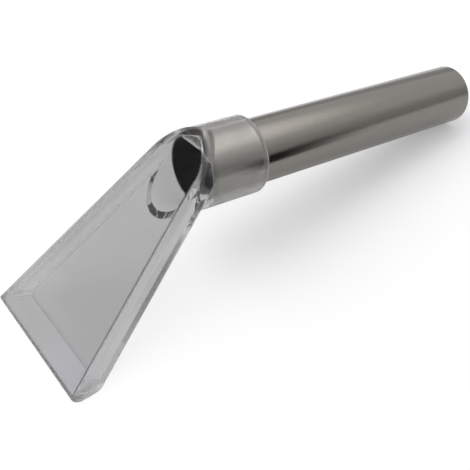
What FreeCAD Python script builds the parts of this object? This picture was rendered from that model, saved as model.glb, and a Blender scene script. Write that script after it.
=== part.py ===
import FreeCAD, Part
import math
import os

# Upholstery nozzle for a vacuum cleaner: a clear moulded head on a bright steel tube.
#
# The head is one moulding. A flat tapered duct runs from a wide slot, the mouth, to a round
# socket. The duct leans away from the tube by the bend, and its front face slices the socket
# off at that slant. The tube slides into the socket until its end meets the stop.
#
# Tool frame, used while modelling: the tube's axis is X, pointing out of the socket, with x = 0
# at the stop. Y runs across the mouth and Z is up. Duct frame: v runs down the front face to
# the mouth, y runs across it, and w is the depth behind it.

# Sizes of the steel tube, in mm
TUBE_DIAMETER = 38.0
TUBE_WALL = 1.5
TUBE_LENGTH = 211.0
TUBE_EDGE_BREAK = 0.25

# Sizes of the socket
SOCKET_DEPTH = 36.7
SOCKET_WALL = 3.5
SOCKET_DRAFT_DEG = 0.25
SOCKET_RIM_RADIUS = 1.4
SOCKET_LEAD_IN = 0.8
BORE_CLEARANCE = 0.1
STOP_LEDGE = 0.5

# Sizes of the duct
BEND_DEG = 45.0
MOUTH_WIDTH = 99.0
DUCT_LENGTH = 139.7
DUCT_DEPTH = 13.0
FRONT_WALL = 2.5
BACK_WALL = 1.5
LIP_SETBACK = 12.9
LIP_BULGE = 0.9
LIP_EDGE_RADIUS = 0.4

# The side walls are thick, and grow thicker from the front of the hollow to its back
SIDE_WALL = 4.2
SIDE_WALL_GROWTH = 3.5

# Where the duct's upper end sits on the socket. The face step is how far the front face
# crosses the stop's plane below the socket's edge. The shoulder arcs start at a place down the
# face, where the duct stands a little wider than the socket, and the nose stands past it.
FACE_STEP = 3.7
SHOULDER_START = 15.9
SHOULDER_STAND = 1.27
NOSE_STAND = 3.1

# Round forms of the duct
FRONT_EDGE_RADIUS = 3.4
BACK_EDGE_RADIUS = 2.5
INNER_FRONT_RADIUS = 1.2
INNER_BACK_RADIUS = 0.4
NOSE_RADIUS = 12.0

# Values worked out from the sizes
TUBE_RADIUS = TUBE_DIAMETER / 2
BORE_RADIUS = TUBE_RADIUS + BORE_CLEARANCE
SOCKET_RADIUS = BORE_RADIUS + SOCKET_WALL
PASSAGE_RADIUS = BORE_RADIUS - STOP_LEDGE
BEND = math.radians(BEND_DEG)
FACE_HEIGHT = SOCKET_RADIUS - FACE_STEP
NOSE_TIP = -FACE_STEP / math.sin(BEND) - NOSE_STAND
SHOULDER_WIDTH = SOCKET_RADIUS + SHOULDER_STAND
SIDE_TAPER = math.atan((MOUTH_WIDTH / 2 - SHOULDER_WIDTH) / (DUCT_LENGTH - SHOULDER_START))
HOLLOW_BACK = DUCT_DEPTH - BACK_WALL
REACH = 3 * DUCT_LENGTH

# The duct frame, placed in the tool frame
TO_MOUTH = FreeCAD.Vector(-math.cos(BEND), 0, -math.sin(BEND))
ACROSS = FreeCAD.Vector(0, 1, 0)
INWARD = FreeCAD.Vector(math.sin(BEND), 0, -math.cos(BEND))
FACE_ORIGIN = FreeCAD.Vector(0, 0, FACE_HEIGHT)
DUCT_TURN = FreeCAD.Rotation(TO_MOUTH, ACROSS, INWARD, "XYZ")
DUCT_PLACEMENT = FreeCAD.Placement(FACE_ORIGIN, DUCT_TURN)


def in_tool_frame(shape):
    """Move a shape from the duct frame to the tool frame."""
    moved = shape.copy()
    moved.Placement = DUCT_PLACEMENT.multiply(moved.Placement)
    return moved


def half_width(v):
    """Half the duct's outer width at a place down the front face."""
    return MOUTH_WIDTH / 2 - (DUCT_LENGTH - v) * math.tan(SIDE_TAPER)


def duct_outline(inset):
    """The duct seen square to its front face, drawn in by an inset.

    Two tapered sides run into shoulders, large arcs, and a nose arc closes the end that sits
    on the socket. The shoulder's radius is the one that makes it run smoothly into both. The
    outline is left long beyond the mouth.
    """
    side_normal = FreeCAD.Vector(-math.sin(SIDE_TAPER), math.cos(SIDE_TAPER), 0)
    shoulder_start = FreeCAD.Vector(SHOULDER_START, SHOULDER_WIDTH, 0)
    nose_centre = FreeCAD.Vector(NOSE_TIP + NOSE_RADIUS, 0, 0)
    from_nose = shoulder_start - nose_centre
    spare = from_nose.dot(side_normal) - NOSE_RADIUS
    shoulder_radius = (from_nose.Length ** 2 - NOSE_RADIUS ** 2) / (2 * spare)
    shoulder_centre = shoulder_start - side_normal * shoulder_radius
    nose_normal = (nose_centre - shoulder_centre).normalize()
    middle_normal = (side_normal + nose_normal).normalize()
    shoulder = shoulder_radius - inset
    side_end = shoulder_centre + side_normal * shoulder
    shoulder_middle = shoulder_centre + middle_normal * shoulder
    nose_end = shoulder_centre + nose_normal * shoulder
    nose_tip = nose_centre - FreeCAD.Vector(NOSE_RADIUS - inset, 0, 0)
    far_v = DUCT_LENGTH * 1.3
    far = FreeCAD.Vector(far_v, half_width(far_v) - inset / math.cos(SIDE_TAPER), 0)

    def across(point):
        return FreeCAD.Vector(point.x, -point.y, point.z)

    edges = [
        Part.LineSegment(far, side_end).toShape(),
        Part.Arc(side_end, shoulder_middle, nose_end).toShape(),
        Part.Arc(nose_end, nose_tip, across(nose_end)).toShape(),
        Part.Arc(across(nose_end), across(shoulder_middle), across(side_end)).toShape(),
        Part.LineSegment(across(side_end), across(far)).toShape(),
        Part.LineSegment(across(far), far).toShape(),
    ]
    return Part.Wire(edges)


def edges_at_depth(solid, w):
    """The edges of a duct form that lie in the plane at depth w, without the far end's."""
    found = []
    for edge in solid.Edges:
        box = edge.BoundBox
        flat = abs(box.ZMin - w) < 1e-4 and abs(box.ZMax - w) < 1e-4
        at_far_end = box.XMin > DUCT_LENGTH * 1.2
        if flat and not at_far_end:
            found.append(edge)
    return found


def rounded(form, near_w, near_radius, far_w, far_radius):
    """Round a duct form's edges where its walls meet the flat faces at two depths."""
    form = form.makeFillet(near_radius, edges_at_depth(form, near_w))
    return form.makeFillet(far_radius, edges_at_depth(form, far_w))


def lip_points():
    """The front and back points of the lip on the middle plane, in the duct frame."""
    front = FreeCAD.Vector(DUCT_LENGTH, 0, 0)
    back = FreeCAD.Vector(DUCT_LENGTH - LIP_SETBACK, 0, DUCT_DEPTH)
    return front, back


def lip_arc():
    """The lip seen from the side is an arc that bulges from the line between its two points.

    Returns its centre, its radius, and the way that the middle of the mouth faces.
    """
    front, back = lip_points()
    chord = back - front
    facing = ACROSS.cross(chord).normalize()
    radius = (chord.Length ** 2 / 4 + LIP_BULGE ** 2) / (2 * LIP_BULGE)
    centre = (front + back) * 0.5 - facing * (radius - LIP_BULGE)
    return centre, radius, facing


def beyond_mouth():
    """Everything past the curved lip, in the duct frame."""
    centre, radius, facing = lip_arc()
    front, back = lip_points()
    half_chord = (back - front) * 0.5
    # The arc runs on past both faces of the duct by half as much again.
    sideways = half_chord * 1.5
    forward = facing * math.sqrt(radius ** 2 - sideways.Length ** 2)
    start = centre + forward - sideways
    end = centre + forward + sideways
    out = FreeCAD.Vector(REACH, 0, 0)
    edges = [
        Part.Arc(start, centre + facing * radius, end).toShape(),
        Part.LineSegment(end, end + out).toShape(),
        Part.LineSegment(end + out, start + out).toShape(),
        Part.LineSegment(start + out, start).toShape(),
    ]
    face = Part.Face(Part.Wire(edges))
    face.translate(FreeCAD.Vector(0, -REACH, 0))
    return face.extrude(FreeCAD.Vector(0, 2 * REACH, 0))


def in_front_of(w):
    """Everything in front of depth w, as a block in the duct frame."""
    corner = FreeCAD.Vector(-REACH, -REACH, w - REACH)
    return Part.makeBox(2 * REACH, 2 * REACH, REACH, corner)


def socket_body():
    """The socket's outer cone, from its rim down past where the back plate swallows it."""
    draft = math.tan(math.radians(SOCKET_DRAFT_DEG))
    inner_end = -2 * SOCKET_RADIUS
    start = FreeCAD.Vector(inner_end, 0, 0)
    length = SOCKET_DEPTH - inner_end
    start_radius = SOCKET_RADIUS + inner_end * draft
    rim_radius = SOCKET_RADIUS + SOCKET_DEPTH * draft
    cone = Part.makeCone(start_radius, rim_radius, length, start, FreeCAD.Vector(1, 0, 0))
    rim = [e for e in cone.Edges if e.BoundBox.XMin > SOCKET_DEPTH - 1e-4]
    cone = cone.makeFillet(SOCKET_RIM_RADIUS, rim)
    # The cut sits under the duct's rounded front edge, so no sharp rim shows there.
    cut_depth = FRONT_EDGE_RADIUS * (1 - math.cos(math.radians(45)))
    return cone.cut(in_tool_frame(in_front_of(cut_depth)))


def outer_form():
    """The head as a solid lump: duct and socket in one."""
    duct = Part.Face(duct_outline(0)).extrude(FreeCAD.Vector(0, 0, DUCT_DEPTH))
    duct = rounded(duct, 0, FRONT_EDGE_RADIUS, DUCT_DEPTH, BACK_EDGE_RADIUS)
    return in_tool_frame(duct).fuse(socket_body()).removeSplitter()


def hollow():
    """What the air fills: duct, passage and the socket's bore."""
    front = duct_outline(SIDE_WALL)
    front.translate(FreeCAD.Vector(0, 0, FRONT_WALL))
    back = duct_outline(SIDE_WALL + SIDE_WALL_GROWTH)
    back.translate(FreeCAD.Vector(0, 0, HOLLOW_BACK))
    duct = Part.makeLoft([front, back], True, True)
    duct = rounded(duct, FRONT_WALL, INNER_FRONT_RADIUS, HOLLOW_BACK, INNER_BACK_RADIUS)
    behind_stop = Part.makeBox(REACH, 2 * REACH, 2 * REACH, FreeCAD.Vector(0, -REACH, -REACH))
    duct = in_tool_frame(duct).cut(behind_stop)
    axis = FreeCAD.Vector(1, 0, 0)
    passage_end = FreeCAD.Vector(-2 * SOCKET_RADIUS, 0, 0)
    passage = Part.makeCylinder(PASSAGE_RADIUS, 2 * SOCKET_RADIUS, passage_end, axis)
    passage = passage.cut(in_tool_frame(in_front_of(FRONT_WALL)))
    bore = Part.makeCylinder(BORE_RADIUS, SOCKET_DEPTH, FreeCAD.Vector(0, 0, 0), axis)
    lead_start = FreeCAD.Vector(SOCKET_DEPTH - SOCKET_LEAD_IN, 0, 0)
    lead_in = Part.makeCone(BORE_RADIUS, BORE_RADIUS + SOCKET_LEAD_IN, SOCKET_LEAD_IN, lead_start, axis)
    return duct.fuse(passage).fuse(bore).fuse(lead_in)


def lip_edges(solid):
    """The edges round the mouth, outside and inside, all on the lip's curve."""
    centre, radius, facing = lip_arc()
    to_duct = DUCT_PLACEMENT.inverse()
    found = []
    for edge in solid.Edges:
        points = [to_duct.multVec(point) for point in edge.discretize(5)]
        if all(abs(math.hypot(p.x - centre.x, p.z - centre.z) - radius) < 1e-3 for p in points):
            found.append(edge)
    return found


def make_head():
    """The clear head, in the tool frame."""
    head = outer_form().cut(hollow())
    head = head.cut(in_tool_frame(beyond_mouth()))
    return head.makeFillet(LIP_EDGE_RADIUS, lip_edges(head))


def make_tube():
    """The steel tube, seated on the stop, in the tool frame."""
    start = FreeCAD.Vector(0, 0, 0)
    axis = FreeCAD.Vector(1, 0, 0)
    outside = Part.makeCylinder(TUBE_RADIUS, TUBE_LENGTH, start, axis)
    inside = Part.makeCylinder(TUBE_RADIUS - TUBE_WALL, TUBE_LENGTH, start, axis)
    tube = outside.cut(inside)
    end_edges = [e for e in tube.Edges if e.BoundBox.XLength < 1e-4]
    return tube.makeChamfer(TUBE_EDGE_BREAK, end_edges)


def at_rest(shapes):
    """Lay the nozzle down as it rests: on its lip and the tube's open end.

    The line under both is turned level, then the lowest point goes to z = 0 and the middle of
    the outer box to x = 0.
    """
    lip = in_tool_frame(Part.Vertex(lip_points()[1])).Point
    end = FreeCAD.Vector(TUBE_LENGTH, 0, -TUBE_RADIUS)
    slope = math.degrees(math.atan2(end.z - lip.z, end.x - lip.x))
    for shape in shapes:
        shape.rotate(FreeCAD.Vector(0, 0, 0), FreeCAD.Vector(0, 1, 0), slope)
    box = Part.makeCompound(shapes).optimalBoundingBox(False)
    for shape in shapes:
        shape.translate(FreeCAD.Vector(-(box.XMin + box.XMax) / 2, 0, -box.ZMin))
    return shapes


os.makedirs("parts", exist_ok=True)
clear_head, steel_tube = at_rest([make_head(), make_tube()])
clear_head.exportStep("parts/clear_head.step")
steel_tube.exportStep("parts/steel_tube.step")
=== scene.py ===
"""A clear upholstery nozzle on a bright steel tube, dressed and lit as in a plain studio.

All lengths are in metres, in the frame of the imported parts: the tube's open end points along
+X and down to the surface, the mouth lies at -X, and Y runs across it.
"""

import math

import bpy
from bpy.props import FloatProperty, FloatVectorProperty, PointerProperty
from bpy.types import NodeSocket, Operator, Panel, PropertyGroup
from mathutils import Matrix, Vector

bl_info = {
    "name": "Upholstery Nozzle",
    "version": (1, 0, 0),
    "blender": (4, 5, 0),
    "location": "View3D > Sidebar > Nozzle",
    "description": "Dresses the clear head and the steel tube and sets the studio round them",
    "category": "Object",
}

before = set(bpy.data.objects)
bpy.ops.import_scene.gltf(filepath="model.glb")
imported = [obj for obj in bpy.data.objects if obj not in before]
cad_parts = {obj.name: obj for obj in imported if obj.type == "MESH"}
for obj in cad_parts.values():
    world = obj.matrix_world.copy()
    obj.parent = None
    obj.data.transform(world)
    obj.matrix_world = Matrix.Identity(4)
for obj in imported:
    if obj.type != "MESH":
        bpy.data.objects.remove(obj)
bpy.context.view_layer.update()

# The tube: its stop in the socket, the way along it to its open end, and its sizes
STOP_POINT = Vector((-0.0488880, 0.0, 0.0617870))
TUBE_AXIS = Vector((0.9788253, 0.0, -0.2046973))
TUBE_BORE = 0.0175
TUBE_WALL = 0.0015
TUBE_LENGTH = 0.211

# The ways up from the tube's axis, and across to the side wall that is on the photograph's left
SOCKET_UP = Vector((0.2046973, 0.0, 0.9788253))
TO_LEFT = Vector((0.0, 1.0, 0.0))

# The duct: a point at the top of its front face, the ways in through it and down it, and its lip
FACE_HEIGHT = 0.0189
FACE_POINT = STOP_POINT + SOCKET_UP * FACE_HEIGHT
INWARD = (TUBE_AXIS - SOCKET_UP).normalized()
TO_MOUTH = (-TUBE_AXIS - SOCKET_UP).normalized()
DUCT_LENGTH = 0.1397
LIP_POINT = FACE_POINT + TO_MOUTH * DUCT_LENGTH

# Where the clear head's finish, painted shade and painted reflection change. Each pair holds the
# two ends of one soft step.
SOCKET_STEP = (0.0, 0.004)  # along the tube's axis, from smoky duct to clear socket
BORE_STEPS = ((0.001, 0.003), (0.0354, 0.0358))  # along the axis, the bore's two ends
BORE_RADIUS_STEP = (0.0193, 0.0198)  # out from the axis, past the bore
FLAT_STEP = (0.8, 0.95)  # from slanted surfaces to the flat front wall
MOUTH_STEP = (0.118, 0.130)  # down the duct, into the strip along the mouth
MOUTH_SIDE_STEP = (-0.045, 0.02)  # from the right of that strip to its left
CORNER_SLANT_STEPS = ((0.3, 0.45), (0.93, 0.99))  # the slants of the hollow's rounded corner
CORNER_DEPTH_STEPS = ((0.0023, 0.0025), (0.0040, 0.0046))  # its depths below the front face
RIGHT_SIDE_STEP = (-0.004, 0.0)  # from the duct's right half to its left
LIP_STEP = (-0.0008, -0.0003)  # down to the lip's end face

# The clear head's fixed values
MOUTH_LEFT_TINT = (0.415, 0.415, 0.420)
# The lavender by the mouth is a painted reflection.
MOUTH_RIGHT_PAINTED_REFLECTION = (0.503, 0.489, 0.529)
# The dark line along the hollow's rounded corner is painted shade.
CORNER_PAINTED_SHADE = (0.12, 0.12, 0.125)
FIRST_WALL_LIMIT = 1.5  # a line of sight with fewer passes than this is at its first wall
BORE_HIDDEN = 0.75
PLASTIC_PATCH_SCALE = 38.0
LIP_ROUGHNESS = 0.3
WAVE_SCALE = 26.0
WAVE_STRENGTH = 0.25
WAVE_HEIGHT = 0.0004
PLASTIC_IOR = 1.58
PLASTIC_SHADOW = (0.93, 0.93, 0.93, 1.0)

# The steel tube's fixed values
OUTSIDE_STEP = (0.05, 0.15)  # from inside to outside, in parts of the wall
INSIDE_PAINTED_LIGHT_START = 0.1  # how far from the stop the painted shade inside begins to lighten
# The inside's colour by the stop is painted shade.
INSIDE_PAINTED_SHADE = (0.011, 0.0105, 0.014)
INSIDE_LIT = (0.16, 0.155, 0.15)
INSIDE_ROUGHNESS = 0.55
GRAIN_STRETCH = 0.02
GRAIN_DARKER = 0.86
GRAIN_LIGHTER = 1.12
GRAIN_STRENGTH = 0.12
GRAIN_HEIGHT = 0.00008
STEEL_PATCH_SCALE = 30.0
STEEL_WORN = 1.35  # the worn patches' roughness, in parts of the polished steel's

# Handling marks: the noise values between which a worn patch begins
PATCH_STEP = (0.48, 0.72)

# The studio's fixed values
FLOOR_GLOW = 0.3
FLOOR_ROUGHNESS = 0.9
KEY_PLACE = (-0.3, 0.5, 1.3)
KEY_TARGET = (0.0, 0.0, 0.0)
KEY_SIZE = 1.4
LIGHT_BOUNCES = 40
SEE_THROUGH_BOUNCES = 24

# Cards that only shiny surfaces show: name, place, target, width and height, soft edges at the
# left, right, bottom and top, how much each hides, its glow, and if it shows through the plastic
CARDS = (
    ("soft_top", (0.62, -0.03, 0.8), (0.62, 0.0, 0.0), (1.3, 1.8),
     (0.6, 0.2, 0.85, 0.85), 1.0, 2.2, True),
    ("dark_streak", (0.095, -0.11, 0.035), (0.095, 0.0, 0.035), (0.15, 0.07),
     (0.12, 0.025, 0.005, 0.025), 1.0, 0.0, True),
    ("dim_front", (0.4, -0.21, 0.125), (0.4, 0.0, 0.125), (0.9, 0.25),
     (0.3, 0.1, 0.01, 0.2), 0.42, 0.0, True),
    ("dim_back", (0.75, 0.8, 0.2), (0.05, 0.0, 0.05), (1.4, 0.5),
     (0.1, 0.1, 0.1, 0.1), 0.45, 0.0, False),
    ("dim_under", (0.09, 0.05, 0.002), (0.09, 0.05, 1.0), (0.4, 0.14),
     (0.05, 0.05, 0.03, 0.03), 0.5, 0.0, False),
    ("dark_floor", (-0.07, -0.08, 0.002), (-0.07, -0.08, 1.0), (0.08, 0.13),
     (0.03, 0.03, 0.02, 0.02), 0.85, 0.0, False),
    ("dark_back", (-0.5, 0.64, 0.69), (-0.1, 0.0, 0.04), (1.1, 0.9),
     (0.2, 0.2, 0.2, 0.2), 1.0, 0.0, False),
    ("dark_bore", (-0.396, 0.722, 0.676), (-0.05, -0.013, 0.092), (0.26, 0.18),
     (0.03, 0.1, 0.04, 0.08), 0.52, 0.0, True),
    ("dark_left", (-0.67, 0.3, 0.2), (0.0, 0.3, 0.2), (0.46, 0.34),
     (0.06, 0.06, 0.05, 0.03), 0.6, 0.0, True),
)

# The camera at the photograph's angle
CAMERA_PLACE = Vector((-0.196839, -0.281466, 0.291468))
CAMERA_TURN = Matrix((
    (0.80113893, 0.45668209, -0.38680471),
    (-0.58954281, 0.49093158, -0.64142455),
    (-0.10303245, 0.74190811, 0.66253804),
))
CAMERA_LENS = 55.065
CAMERA_SENSOR = 36.0
CAMERA_NEAR = 0.01

WHITE = (1.0, 1.0, 1.0, 1.0)
BLACK = (0.0, 0.0, 0.0, 1.0)


class NozzleFinish(PropertyGroup):
    """Colours and surface values of the two pieces."""

    smoky_tint: FloatVectorProperty(
        name="Smoky tint",
        description="Colour that the duct's plastic lays on what shows through it",
        subtype="COLOR", size=3, min=0.0, max=1.0, default=(0.47, 0.47, 0.477))
    clear_tint: FloatVectorProperty(
        name="Clear tint", description="Colour of the clear plastic of the socket",
        subtype="COLOR", size=3, min=0.0, max=1.0, default=(0.99, 0.99, 0.99))
    plastic_roughness: FloatProperty(
        name="Plastic roughness", description="How much the clean plastic blurs what shows in it",
        subtype="FACTOR", min=0.0, max=1.0, default=0.015)
    scuff_roughness: FloatProperty(
        name="Scuff roughness", description="Roughness of the worn patches of the plastic",
        subtype="FACTOR", min=0.0, max=1.0, default=0.07)
    steel_colour: FloatVectorProperty(
        name="Steel", description="Colour of the polished steel",
        subtype="COLOR", size=3, min=0.0, max=1.0, default=(0.216, 0.2055, 0.1865))
    steel_roughness: FloatProperty(
        name="Steel roughness", description="Roughness of the polished steel",
        subtype="FACTOR", min=0.0, max=1.0, default=0.17)
    grain_pitch: FloatProperty(
        name="Grain pitch", description="Width of the drawn lines along the tube",
        subtype="DISTANCE", unit="LENGTH", min=0.00005, max=0.005, default=0.0006)


class NozzleStudio(PropertyGroup):
    """Sizes and levels of the studio."""

    floor_size: FloatProperty(
        name="Floor size", description="Side of the square floor",
        subtype="DISTANCE", unit="LENGTH", min=1.0, max=20.0, default=6.0)
    floor_colour: FloatVectorProperty(
        name="Floor", description="Colour of the floor",
        subtype="COLOR", size=3, min=0.0, max=1.0, default=(0.8, 0.8, 0.8))
    key_power: FloatProperty(
        name="Key light", description="Power of the large soft light above",
        unit="POWER", min=0.0, max=500.0, default=9.0)
    room_light: FloatProperty(
        name="Room light", description="Strength of the even light from all round",
        min=0.0, max=5.0, default=0.62)


def new_material(name):
    """Make a material with a Principled shader and hand back the parts that others join to."""
    material = bpy.data.materials.new(name)
    material.use_nodes = True
    nodes = material.node_tree.nodes
    return material, nodes, material.node_tree.links, nodes["Principled BSDF"]


def feed(links, socket, value):
    """Join an output to a socket, or set the socket to a plain number or colour."""
    if isinstance(value, NodeSocket):
        links.new(value, socket)
    else:
        socket.default_value = value


def math_node(nodes, links, operation, first, second=None, clamp=False):
    """Add a Math node and return its output. Inputs are numbers or outputs of other nodes."""
    node = nodes.new("ShaderNodeMath")
    node.operation = operation
    node.use_clamp = clamp
    feed(links, node.inputs[0], first)
    if second is not None:
        feed(links, node.inputs[1], second)
    return node.outputs[0]


def product(nodes, links, first, *others):
    """Masks and numbers multiplied together."""
    for other in others:
        first = math_node(nodes, links, "MULTIPLY", first, other)
    return first


def vector_node(nodes, links, operation, first, second=None):
    """Add a Vector Math node and return it. Inputs are vectors or outputs of other nodes."""
    node = nodes.new("ShaderNodeVectorMath")
    node.operation = operation
    feed(links, node.inputs[0], first)
    if second is not None:
        feed(links, node.inputs[1], second)
    return node


def surface(nodes, output):
    """A value of the surface point that is shaded, such as its Position or Normal."""
    return nodes.new("ShaderNodeNewGeometry").outputs[output]


def along(nodes, links, origin, direction):
    """The distance of each surface point from an origin along a direction."""
    offset = vector_node(nodes, links, "SUBTRACT", surface(nodes, "Position"), origin)
    return vector_node(nodes, links, "DOT_PRODUCT", offset.outputs[0], direction).outputs["Value"]


def off_axis(nodes, links):
    """The distance of each surface point from the tube's axis."""
    offset = vector_node(nodes, links, "SUBTRACT", surface(nodes, "Position"), STOP_POINT)
    cross = vector_node(nodes, links, "CROSS_PRODUCT", offset.outputs[0], TUBE_AXIS)
    return vector_node(nodes, links, "LENGTH", cross.outputs[0]).outputs["Value"]


def slant_to(nodes, links, direction):
    """How squarely each surface point faces a direction, from 0 side on to 1 head on."""
    dot = vector_node(nodes, links, "DOT_PRODUCT", surface(nodes, "Normal"), direction)
    return math_node(nodes, links, "ABSOLUTE", dot.outputs["Value"])


def rise(nodes, links, value, step):
    """A soft mask that goes from 0 to 1 as a value goes from one end of a step to the other."""
    node = nodes.new("ShaderNodeMapRange")
    node.interpolation_type = "SMOOTHSTEP"
    links.new(value, node.inputs["Value"])
    node.inputs["From Min"].default_value, node.inputs["From Max"].default_value = step
    return node.outputs["Result"]


def fall(nodes, links, value, step):
    """A soft mask that goes from 1 to 0 as a value goes from one end of a step to the other."""
    return math_node(nodes, links, "SUBTRACT", 1.0, rise(nodes, links, value, step))


def band(nodes, links, value, steps):
    """A soft mask that rises over the first of two steps and falls over the second."""
    return product(nodes, links, rise(nodes, links, value, steps[0]),
                   fall(nodes, links, value, steps[1]))


def mix_colour(nodes, links, factor, first, second):
    """Blend two colours by a factor. Colours are tuples or outputs of other nodes.

    A Mix node has sockets for each kind of value: its colours are inputs 6 and 7 and output 2.
    """
    node = nodes.new("ShaderNodeMix")
    node.data_type = "RGBA"
    links.new(factor, node.inputs["Factor"])
    for socket, value in zip(node.inputs[6:8], (first, second)):
        feed(links, socket, (*value, 1.0) if isinstance(value, tuple) else value)
    return node.outputs[2]


def mix_number(nodes, links, factor, first, second):
    """Blend two numbers by a factor. They are plain numbers or outputs of other nodes.

    A Mix node has sockets for each kind of value: its numbers are inputs 2 and 3 and output 0.
    """
    node = nodes.new("ShaderNodeMix")
    node.data_type = "FLOAT"
    links.new(factor, node.inputs["Factor"])
    for socket, value in zip(node.inputs[2:4], (first, second)):
        feed(links, socket, value)
    return node.outputs[0]


def add_bump(nodes, links, shader, height, strength, distance):
    """Raise and sink the surface's shading by a height."""
    bump = nodes.new("ShaderNodeBump")
    bump.inputs["Strength"].default_value = strength
    bump.inputs["Distance"].default_value = distance
    links.new(height, bump.inputs["Height"])
    links.new(bump.outputs["Normal"], shader.inputs["Normal"])


def wear_group():
    """Handling marks shared by both materials: soft worn patches."""
    group = bpy.data.node_groups.new("handling_wear", "ShaderNodeTree")
    sockets = group.interface
    sockets.new_socket("Patch Scale", in_out="INPUT", socket_type="NodeSocketFloat")
    sockets.new_socket("Patches", in_out="OUTPUT", socket_type="NodeSocketFloat")
    nodes = group.nodes
    links = group.links
    inlet = nodes.new("NodeGroupInput")
    outlet = nodes.new("NodeGroupOutput")
    patches = nodes.new("ShaderNodeTexNoise")
    patches.inputs["Detail"].default_value = 4.0
    patches.inputs["Roughness"].default_value = 0.6
    links.new(surface(nodes, "Position"), patches.inputs["Vector"])
    links.new(inlet.outputs["Patch Scale"], patches.inputs["Scale"])
    links.new(rise(nodes, links, patches.outputs["Fac"], PATCH_STEP), outlet.inputs["Patches"])
    return group


def worn_roughness(nodes, links, patch_scale, clean, worn):
    """A roughness that goes from clean to worn over the shared handling marks."""
    wear = nodes.new("ShaderNodeGroup")
    wear.node_tree = bpy.data.node_groups.get("handling_wear") or wear_group()
    wear.inputs["Patch Scale"].default_value = patch_scale
    roughness = nodes.new("ShaderNodeMapRange")
    links.new(wear.outputs["Patches"], roughness.inputs["Value"])
    roughness.inputs["To Min"].default_value = clean
    roughness.inputs["To Max"].default_value = worn
    return roughness.outputs["Result"]


def head_tint_and_painted_light(nodes, links, finish, path, from_stop):
    """The clear head's colour: smoky in the duct, clear in the socket, with painted shade in one
    corner and a painted reflection by the mouth.
    """
    slant = slant_to(nodes, links, INWARD)
    depth = along(nodes, links, FACE_POINT, INWARD)
    to_left = along(nodes, links, STOP_POINT, TO_LEFT)

    # By the mouth the tint runs from a deeper grey on the left to a faint lavender on the right,
    # and that lavender is a painted reflection.
    down_duct = along(nodes, links, FACE_POINT, TO_MOUTH)
    by_mouth = product(nodes, links, rise(nodes, links, slant, FLAT_STEP),
                       rise(nodes, links, down_duct, MOUTH_STEP))
    on_left = rise(nodes, links, to_left, MOUTH_SIDE_STEP)
    mouth_tint_and_painted_reflection = mix_colour(nodes, links, on_left, MOUTH_RIGHT_PAINTED_REFLECTION, MOUTH_LEFT_TINT)
    duct_tint_and_painted_reflection = mix_colour(nodes, links, by_mouth, tuple(finish.smoky_tint), mouth_tint_and_painted_reflection)

    # The tint is laid on where a line of sight goes through its first wall, so that one wall and
    # two read alike.
    first_wall = math_node(nodes, links, "LESS_THAN",
                           path.outputs["Transmission Depth"], FIRST_WALL_LIMIT)
    smoky = product(nodes, links, first_wall, fall(nodes, links, from_stop, SOCKET_STEP))
    tint = mix_colour(nodes, links, smoky, tuple(finish.clear_tint), duct_tint_and_painted_reflection)

    # Painted shade: the hollow's rounded corner beside the front wall is darkened into a dark
    # line down the right side.
    corner = product(nodes, links, band(nodes, links, slant, CORNER_SLANT_STEPS),
                     band(nodes, links, depth, CORNER_DEPTH_STEPS),
                     fall(nodes, links, to_left, RIGHT_SIDE_STEP))
    return mix_colour(nodes, links, corner, tint, CORNER_PAINTED_SHADE)


def clear_plastic(finish):
    """Clear moulded plastic, smoky in the duct, with painted shade in one corner, a painted
    reflection by the mouth, faint moulding waves and scuffs.
    """
    material, nodes, links, shader = new_material("clear_plastic")
    path = nodes.new("ShaderNodeLightPath")
    from_stop = along(nodes, links, STOP_POINT, TUBE_AXIS)
    links.new(head_tint_and_painted_light(nodes, links, finish, path, from_stop), shader.inputs["Base Color"])

    # The bore grips the tube, so little of the gap shows between them.
    hidden = product(nodes, links, band(nodes, links, from_stop, BORE_STEPS),
                     fall(nodes, links, off_axis(nodes, links), BORE_RADIUS_STEP), BORE_HIDDEN)
    links.new(math_node(nodes, links, "SUBTRACT", 1.0, hidden), shader.inputs["Alpha"])

    # Handling has worn soft patches, and the lip is rubbed dull.
    worn = worn_roughness(nodes, links, PLASTIC_PATCH_SCALE,
                          finish.plastic_roughness, finish.scuff_roughness)
    lip = rise(nodes, links, along(nodes, links, LIP_POINT, -SOCKET_UP), LIP_STEP)
    dull = product(nodes, links, lip, LIP_ROUGHNESS)
    links.new(math_node(nodes, links, "MAXIMUM", worn, dull), shader.inputs["Roughness"])

    waves = nodes.new("ShaderNodeTexNoise")
    waves.inputs["Scale"].default_value = WAVE_SCALE
    waves.inputs["Detail"].default_value = 1.0
    links.new(surface(nodes, "Position"), waves.inputs["Vector"])
    add_bump(nodes, links, shader, waves.outputs["Fac"], WAVE_STRENGTH, WAVE_HEIGHT)

    shader.inputs["IOR"].default_value = PLASTIC_IOR
    shader.inputs["Transmission Weight"].default_value = 1.0

    # Light on its way to other surfaces passes straight through, so that the shadow stays pale.
    passes = math_node(nodes, links, "MAXIMUM",
                       path.outputs["Is Shadow Ray"], path.outputs["Is Diffuse Ray"])
    clear = nodes.new("ShaderNodeBsdfTransparent")
    clear.inputs["Color"].default_value = PLASTIC_SHADOW
    mix = nodes.new("ShaderNodeMixShader")
    links.new(passes, mix.inputs[0])
    links.new(shader.outputs[0], mix.inputs[1])
    links.new(clear.outputs[0], mix.inputs[2])
    links.new(mix.outputs[0], nodes["Material Output"].inputs["Surface"])
    return material


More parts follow.
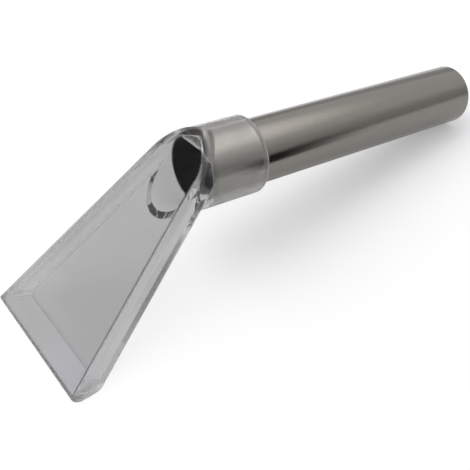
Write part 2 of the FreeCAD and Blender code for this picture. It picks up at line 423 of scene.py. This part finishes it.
def drawn_steel(finish):
    """Bright drawn steel outside, dull inside the tube, with painted shade that darkens the
    inside towards the stop.
    """
    material, nodes, links, shader = new_material("drawn_steel")
    outside = rise(nodes, links, off_axis(nodes, links),
                   tuple(TUBE_BORE + TUBE_WALL * part for part in OUTSIDE_STEP))

    # Fine lines along the tube: the pattern is long along the axis and narrow round it.
    turn = nodes.new("ShaderNodeMapping")
    turn.inputs["Rotation"].default_value = (0.0, -math.asin(-TUBE_AXIS.z), 0.0)
    turn.inputs["Scale"].default_value = (GRAIN_STRETCH, 1.0, 1.0)
    links.new(surface(nodes, "Position"), turn.inputs["Vector"])
    grain = nodes.new("ShaderNodeTexNoise")
    grain.inputs["Scale"].default_value = 1.0 / finish.grain_pitch
    grain.inputs["Detail"].default_value = 3.0
    links.new(turn.outputs["Vector"], grain.inputs["Vector"])
    add_bump(nodes, links, shader, grain.outputs["Fac"], GRAIN_STRENGTH, GRAIN_HEIGHT)

    darker, lighter = (tuple(c * share for c in finish.steel_colour)
                       for share in (GRAIN_DARKER, GRAIN_LIGHTER))
    streaked = mix_colour(nodes, links, grain.outputs["Fac"], darker, lighter)
    # Painted shade: the inside is dark by the stop and lighter towards the open end, where light
    # gets in.
    from_stop = along(nodes, links, STOP_POINT, TUBE_AXIS)
    lit = rise(nodes, links, from_stop, (INSIDE_PAINTED_LIGHT_START, TUBE_LENGTH))
    inside = mix_colour(nodes, links, lit, INSIDE_PAINTED_SHADE, INSIDE_LIT)
    links.new(mix_colour(nodes, links, outside, inside, streaked), shader.inputs["Base Color"])

    polished = worn_roughness(nodes, links, STEEL_PATCH_SCALE,
                              finish.steel_roughness, finish.steel_roughness * STEEL_WORN)
    links.new(mix_number(nodes, links, outside, INSIDE_ROUGHNESS, polished),
              shader.inputs["Roughness"])
    shader.inputs["Metallic"].default_value = 1.0
    return material


def dress(node_name, material):
    """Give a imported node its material."""
    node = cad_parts.get(node_name)
    if node is None:
        raise RuntimeError(f"the packed model has no node named {node_name}")
    node.data.materials.clear()
    node.data.materials.append(material)


def background_rays(nodes, links):
    """1 for rays that show the background: straight to the camera, mirrored or through glass."""
    path = nodes.new("ShaderNodeLightPath")
    seen = math_node(nodes, links, "ADD",
                     path.outputs["Is Camera Ray"], path.outputs["Is Glossy Ray"])
    return math_node(nodes, links, "ADD", seen, path.outputs["Is Transmission Ray"], clamp=True)


def add_plane(name, width, height):
    """A flat rectangle round the origin, to be placed and given a material."""
    x, y = width / 2, height / 2
    mesh = bpy.data.meshes.new(name)
    mesh.from_pydata([(-x, -y, 0), (x, -y, 0), (x, y, 0), (-x, y, 0)], [], [(0, 1, 2, 3)])
    plane = bpy.data.objects.new(name, mesh)
    bpy.context.collection.objects.link(plane)
    return plane


def add_floor(studio):
    """The pale floor. It glows a little for rays that show it, and so reads white."""
    floor = add_plane("floor", studio.floor_size, studio.floor_size)
    material, nodes, links, shader = new_material("pale_floor")
    shader.inputs["Base Color"].default_value = (*studio.floor_colour, 1.0)
    shader.inputs["Roughness"].default_value = FLOOR_ROUGHNESS
    shader.inputs["Specular IOR Level"].default_value = 0.0
    shader.inputs["Emission Color"].default_value = WHITE
    glow = product(nodes, links, background_rays(nodes, links), FLOOR_GLOW)
    links.new(glow, shader.inputs["Emission Strength"])
    floor.data.materials.append(material)


def add_world(studio):
    """Even light from all round, which shows as white behind the object."""
    world = bpy.data.worlds.new("studio")
    world.use_nodes = True
    bpy.context.scene.world = world
    nodes = world.node_tree.nodes
    links = world.node_tree.links
    light = nodes["Background"]
    light.inputs["Color"].default_value = WHITE
    strength = mix_number(nodes, links, background_rays(nodes, links), studio.room_light, 1.0)
    links.new(strength, light.inputs["Strength"])


def add_light(name, place, target, size, power):
    """A soft square light that shines from a place towards a target."""
    lamp = bpy.data.lights.new(name, "AREA")
    lamp.shape = "SQUARE"
    lamp.size = size
    lamp.energy = power
    light = bpy.data.objects.new(name, lamp)
    light.location = place
    light.rotation_euler = (Vector(target) - Vector(place)).to_track_quat("-Z", "Y").to_euler()
    light.visible_camera = False
    light.visible_glossy = False
    light.visible_transmission = False
    bpy.context.collection.objects.link(light)


def add_card(name, place, target, size, fades, cover, glow, seen_through):
    """A flat card with soft edges, black unless it glows, which only shiny surfaces show.

    Size is width and height. Fades are the soft widths at the left, right, lower and upper edges,
    as seen from the target. Cover is how much of what lies behind the card it hides.
    """
    card = add_plane(name, *size)
    card.location = place
    card.rotation_euler = (Vector(place) - Vector(target)).to_track_quat("-Z", "Y").to_euler()

    material, nodes, links, shader = new_material(name)
    local = nodes.new("ShaderNodeSeparateXYZ")
    links.new(nodes.new("ShaderNodeTexCoord").outputs["Object"], local.inputs[0])
    x, y = size[0] / 2, size[1] / 2
    left, right, lower, upper = fades
    alpha = product(nodes, links,
                    band(nodes, links, local.outputs["X"], ((-x, left - x), (x - right, x))),
                    band(nodes, links, local.outputs["Y"], ((-y, lower - y), (y - upper, y))),
                    cover)
    links.new(alpha, shader.inputs["Alpha"])
    shader.inputs["Base Color"].default_value = BLACK
    shader.inputs["Specular IOR Level"].default_value = 0.0
    shader.inputs["Emission Color"].default_value = WHITE
    shader.inputs["Emission Strength"].default_value = glow
    card.data.materials.append(material)
    card.visible_camera = False
    card.visible_diffuse = False
    card.visible_transmission = seen_through
    card.visible_shadow = False


def add_camera():
    """The camera at the photograph's angle, framed as the photograph is."""
    lens = bpy.data.cameras.new("camera")
    lens.lens = CAMERA_LENS
    lens.sensor_width = CAMERA_SENSOR
    lens.clip_start = CAMERA_NEAR
    camera = bpy.data.objects.new("camera", lens)
    camera.matrix_world = Matrix.Translation(CAMERA_PLACE) @ CAMERA_TURN.to_4x4()
    bpy.context.collection.objects.link(camera)
    bpy.context.scene.camera = camera


def set_light_paths(scene):
    """Plain colours, and enough bounces for light to find its way through the clear head."""
    scene.view_settings.view_transform = "Standard"
    scene.cycles.caustics_reflective = False
    scene.cycles.caustics_refractive = False
    scene.cycles.max_bounces = LIGHT_BOUNCES
    scene.cycles.glossy_bounces = LIGHT_BOUNCES
    scene.cycles.transmission_bounces = LIGHT_BOUNCES
    scene.cycles.transparent_max_bounces = SEE_THROUGH_BOUNCES


class NOZZLE_OT_clear_head(Operator):
    """Give the clear head its plastic"""

    bl_idname = "nozzle.clear_head"
    bl_label = "Dress Clear Head"

    def execute(self, context):
        dress("clear_head", clear_plastic(context.scene.nozzle_finish))
        return {"FINISHED"}


class NOZZLE_OT_steel_tube(Operator):
    """Give the tube its drawn steel"""

    bl_idname = "nozzle.steel_tube"
    bl_label = "Dress Steel Tube"

    def execute(self, context):
        dress("steel_tube", drawn_steel(context.scene.nozzle_finish))
        return {"FINISHED"}


class NOZZLE_OT_studio(Operator):
    """Set up the floor, the light, the cards and the camera"""

    bl_idname = "nozzle.studio"
    bl_label = "Set Up Studio"

    def execute(self, context):
        studio = context.scene.nozzle_studio
        add_camera()
        add_floor(studio)
        add_world(studio)
        add_light("key_light", KEY_PLACE, KEY_TARGET, KEY_SIZE, studio.key_power)
        for card in CARDS:
            add_card(*card)
        set_light_paths(context.scene)
        return {"FINISHED"}


class NOZZLE_PT_sidebar(Panel):
    """Lists the pieces, the studio and their values"""

    bl_label = "Upholstery Nozzle"
    bl_idname = "NOZZLE_PT_sidebar"
    bl_space_type = "VIEW_3D"
    bl_region_type = "UI"
    bl_category = "Nozzle"

    def draw(self, context):
        scene = context.scene
        for group in (scene.nozzle_finish, scene.nozzle_studio):
            box = self.layout.box()
            for name in group.bl_rna.properties.keys():
                if name not in {"rna_type", "name"}:
                    box.prop(group, name)
        for operator in (NOZZLE_OT_clear_head, NOZZLE_OT_steel_tube, NOZZLE_OT_studio):
            self.layout.operator(operator.bl_idname)


CLASSES = (
    NozzleFinish,
    NozzleStudio,
    NOZZLE_OT_clear_head,
    NOZZLE_OT_steel_tube,
    NOZZLE_OT_studio,
    NOZZLE_PT_sidebar,
)


def register():
    for cls in CLASSES:
        bpy.utils.register_class(cls)
    bpy.types.Scene.nozzle_finish = PointerProperty(type=NozzleFinish)
    bpy.types.Scene.nozzle_studio = PointerProperty(type=NozzleStudio)


def unregister():
    del bpy.types.Scene.nozzle_studio
    del bpy.types.Scene.nozzle_finish
    for cls in reversed(CLASSES):
        bpy.utils.unregister_class(cls)


def main():
    register()
    bpy.ops.nozzle.studio()
    bpy.ops.nozzle.clear_head()
    bpy.ops.nozzle.steel_tube()


if __name__ == "__main__":
    main()
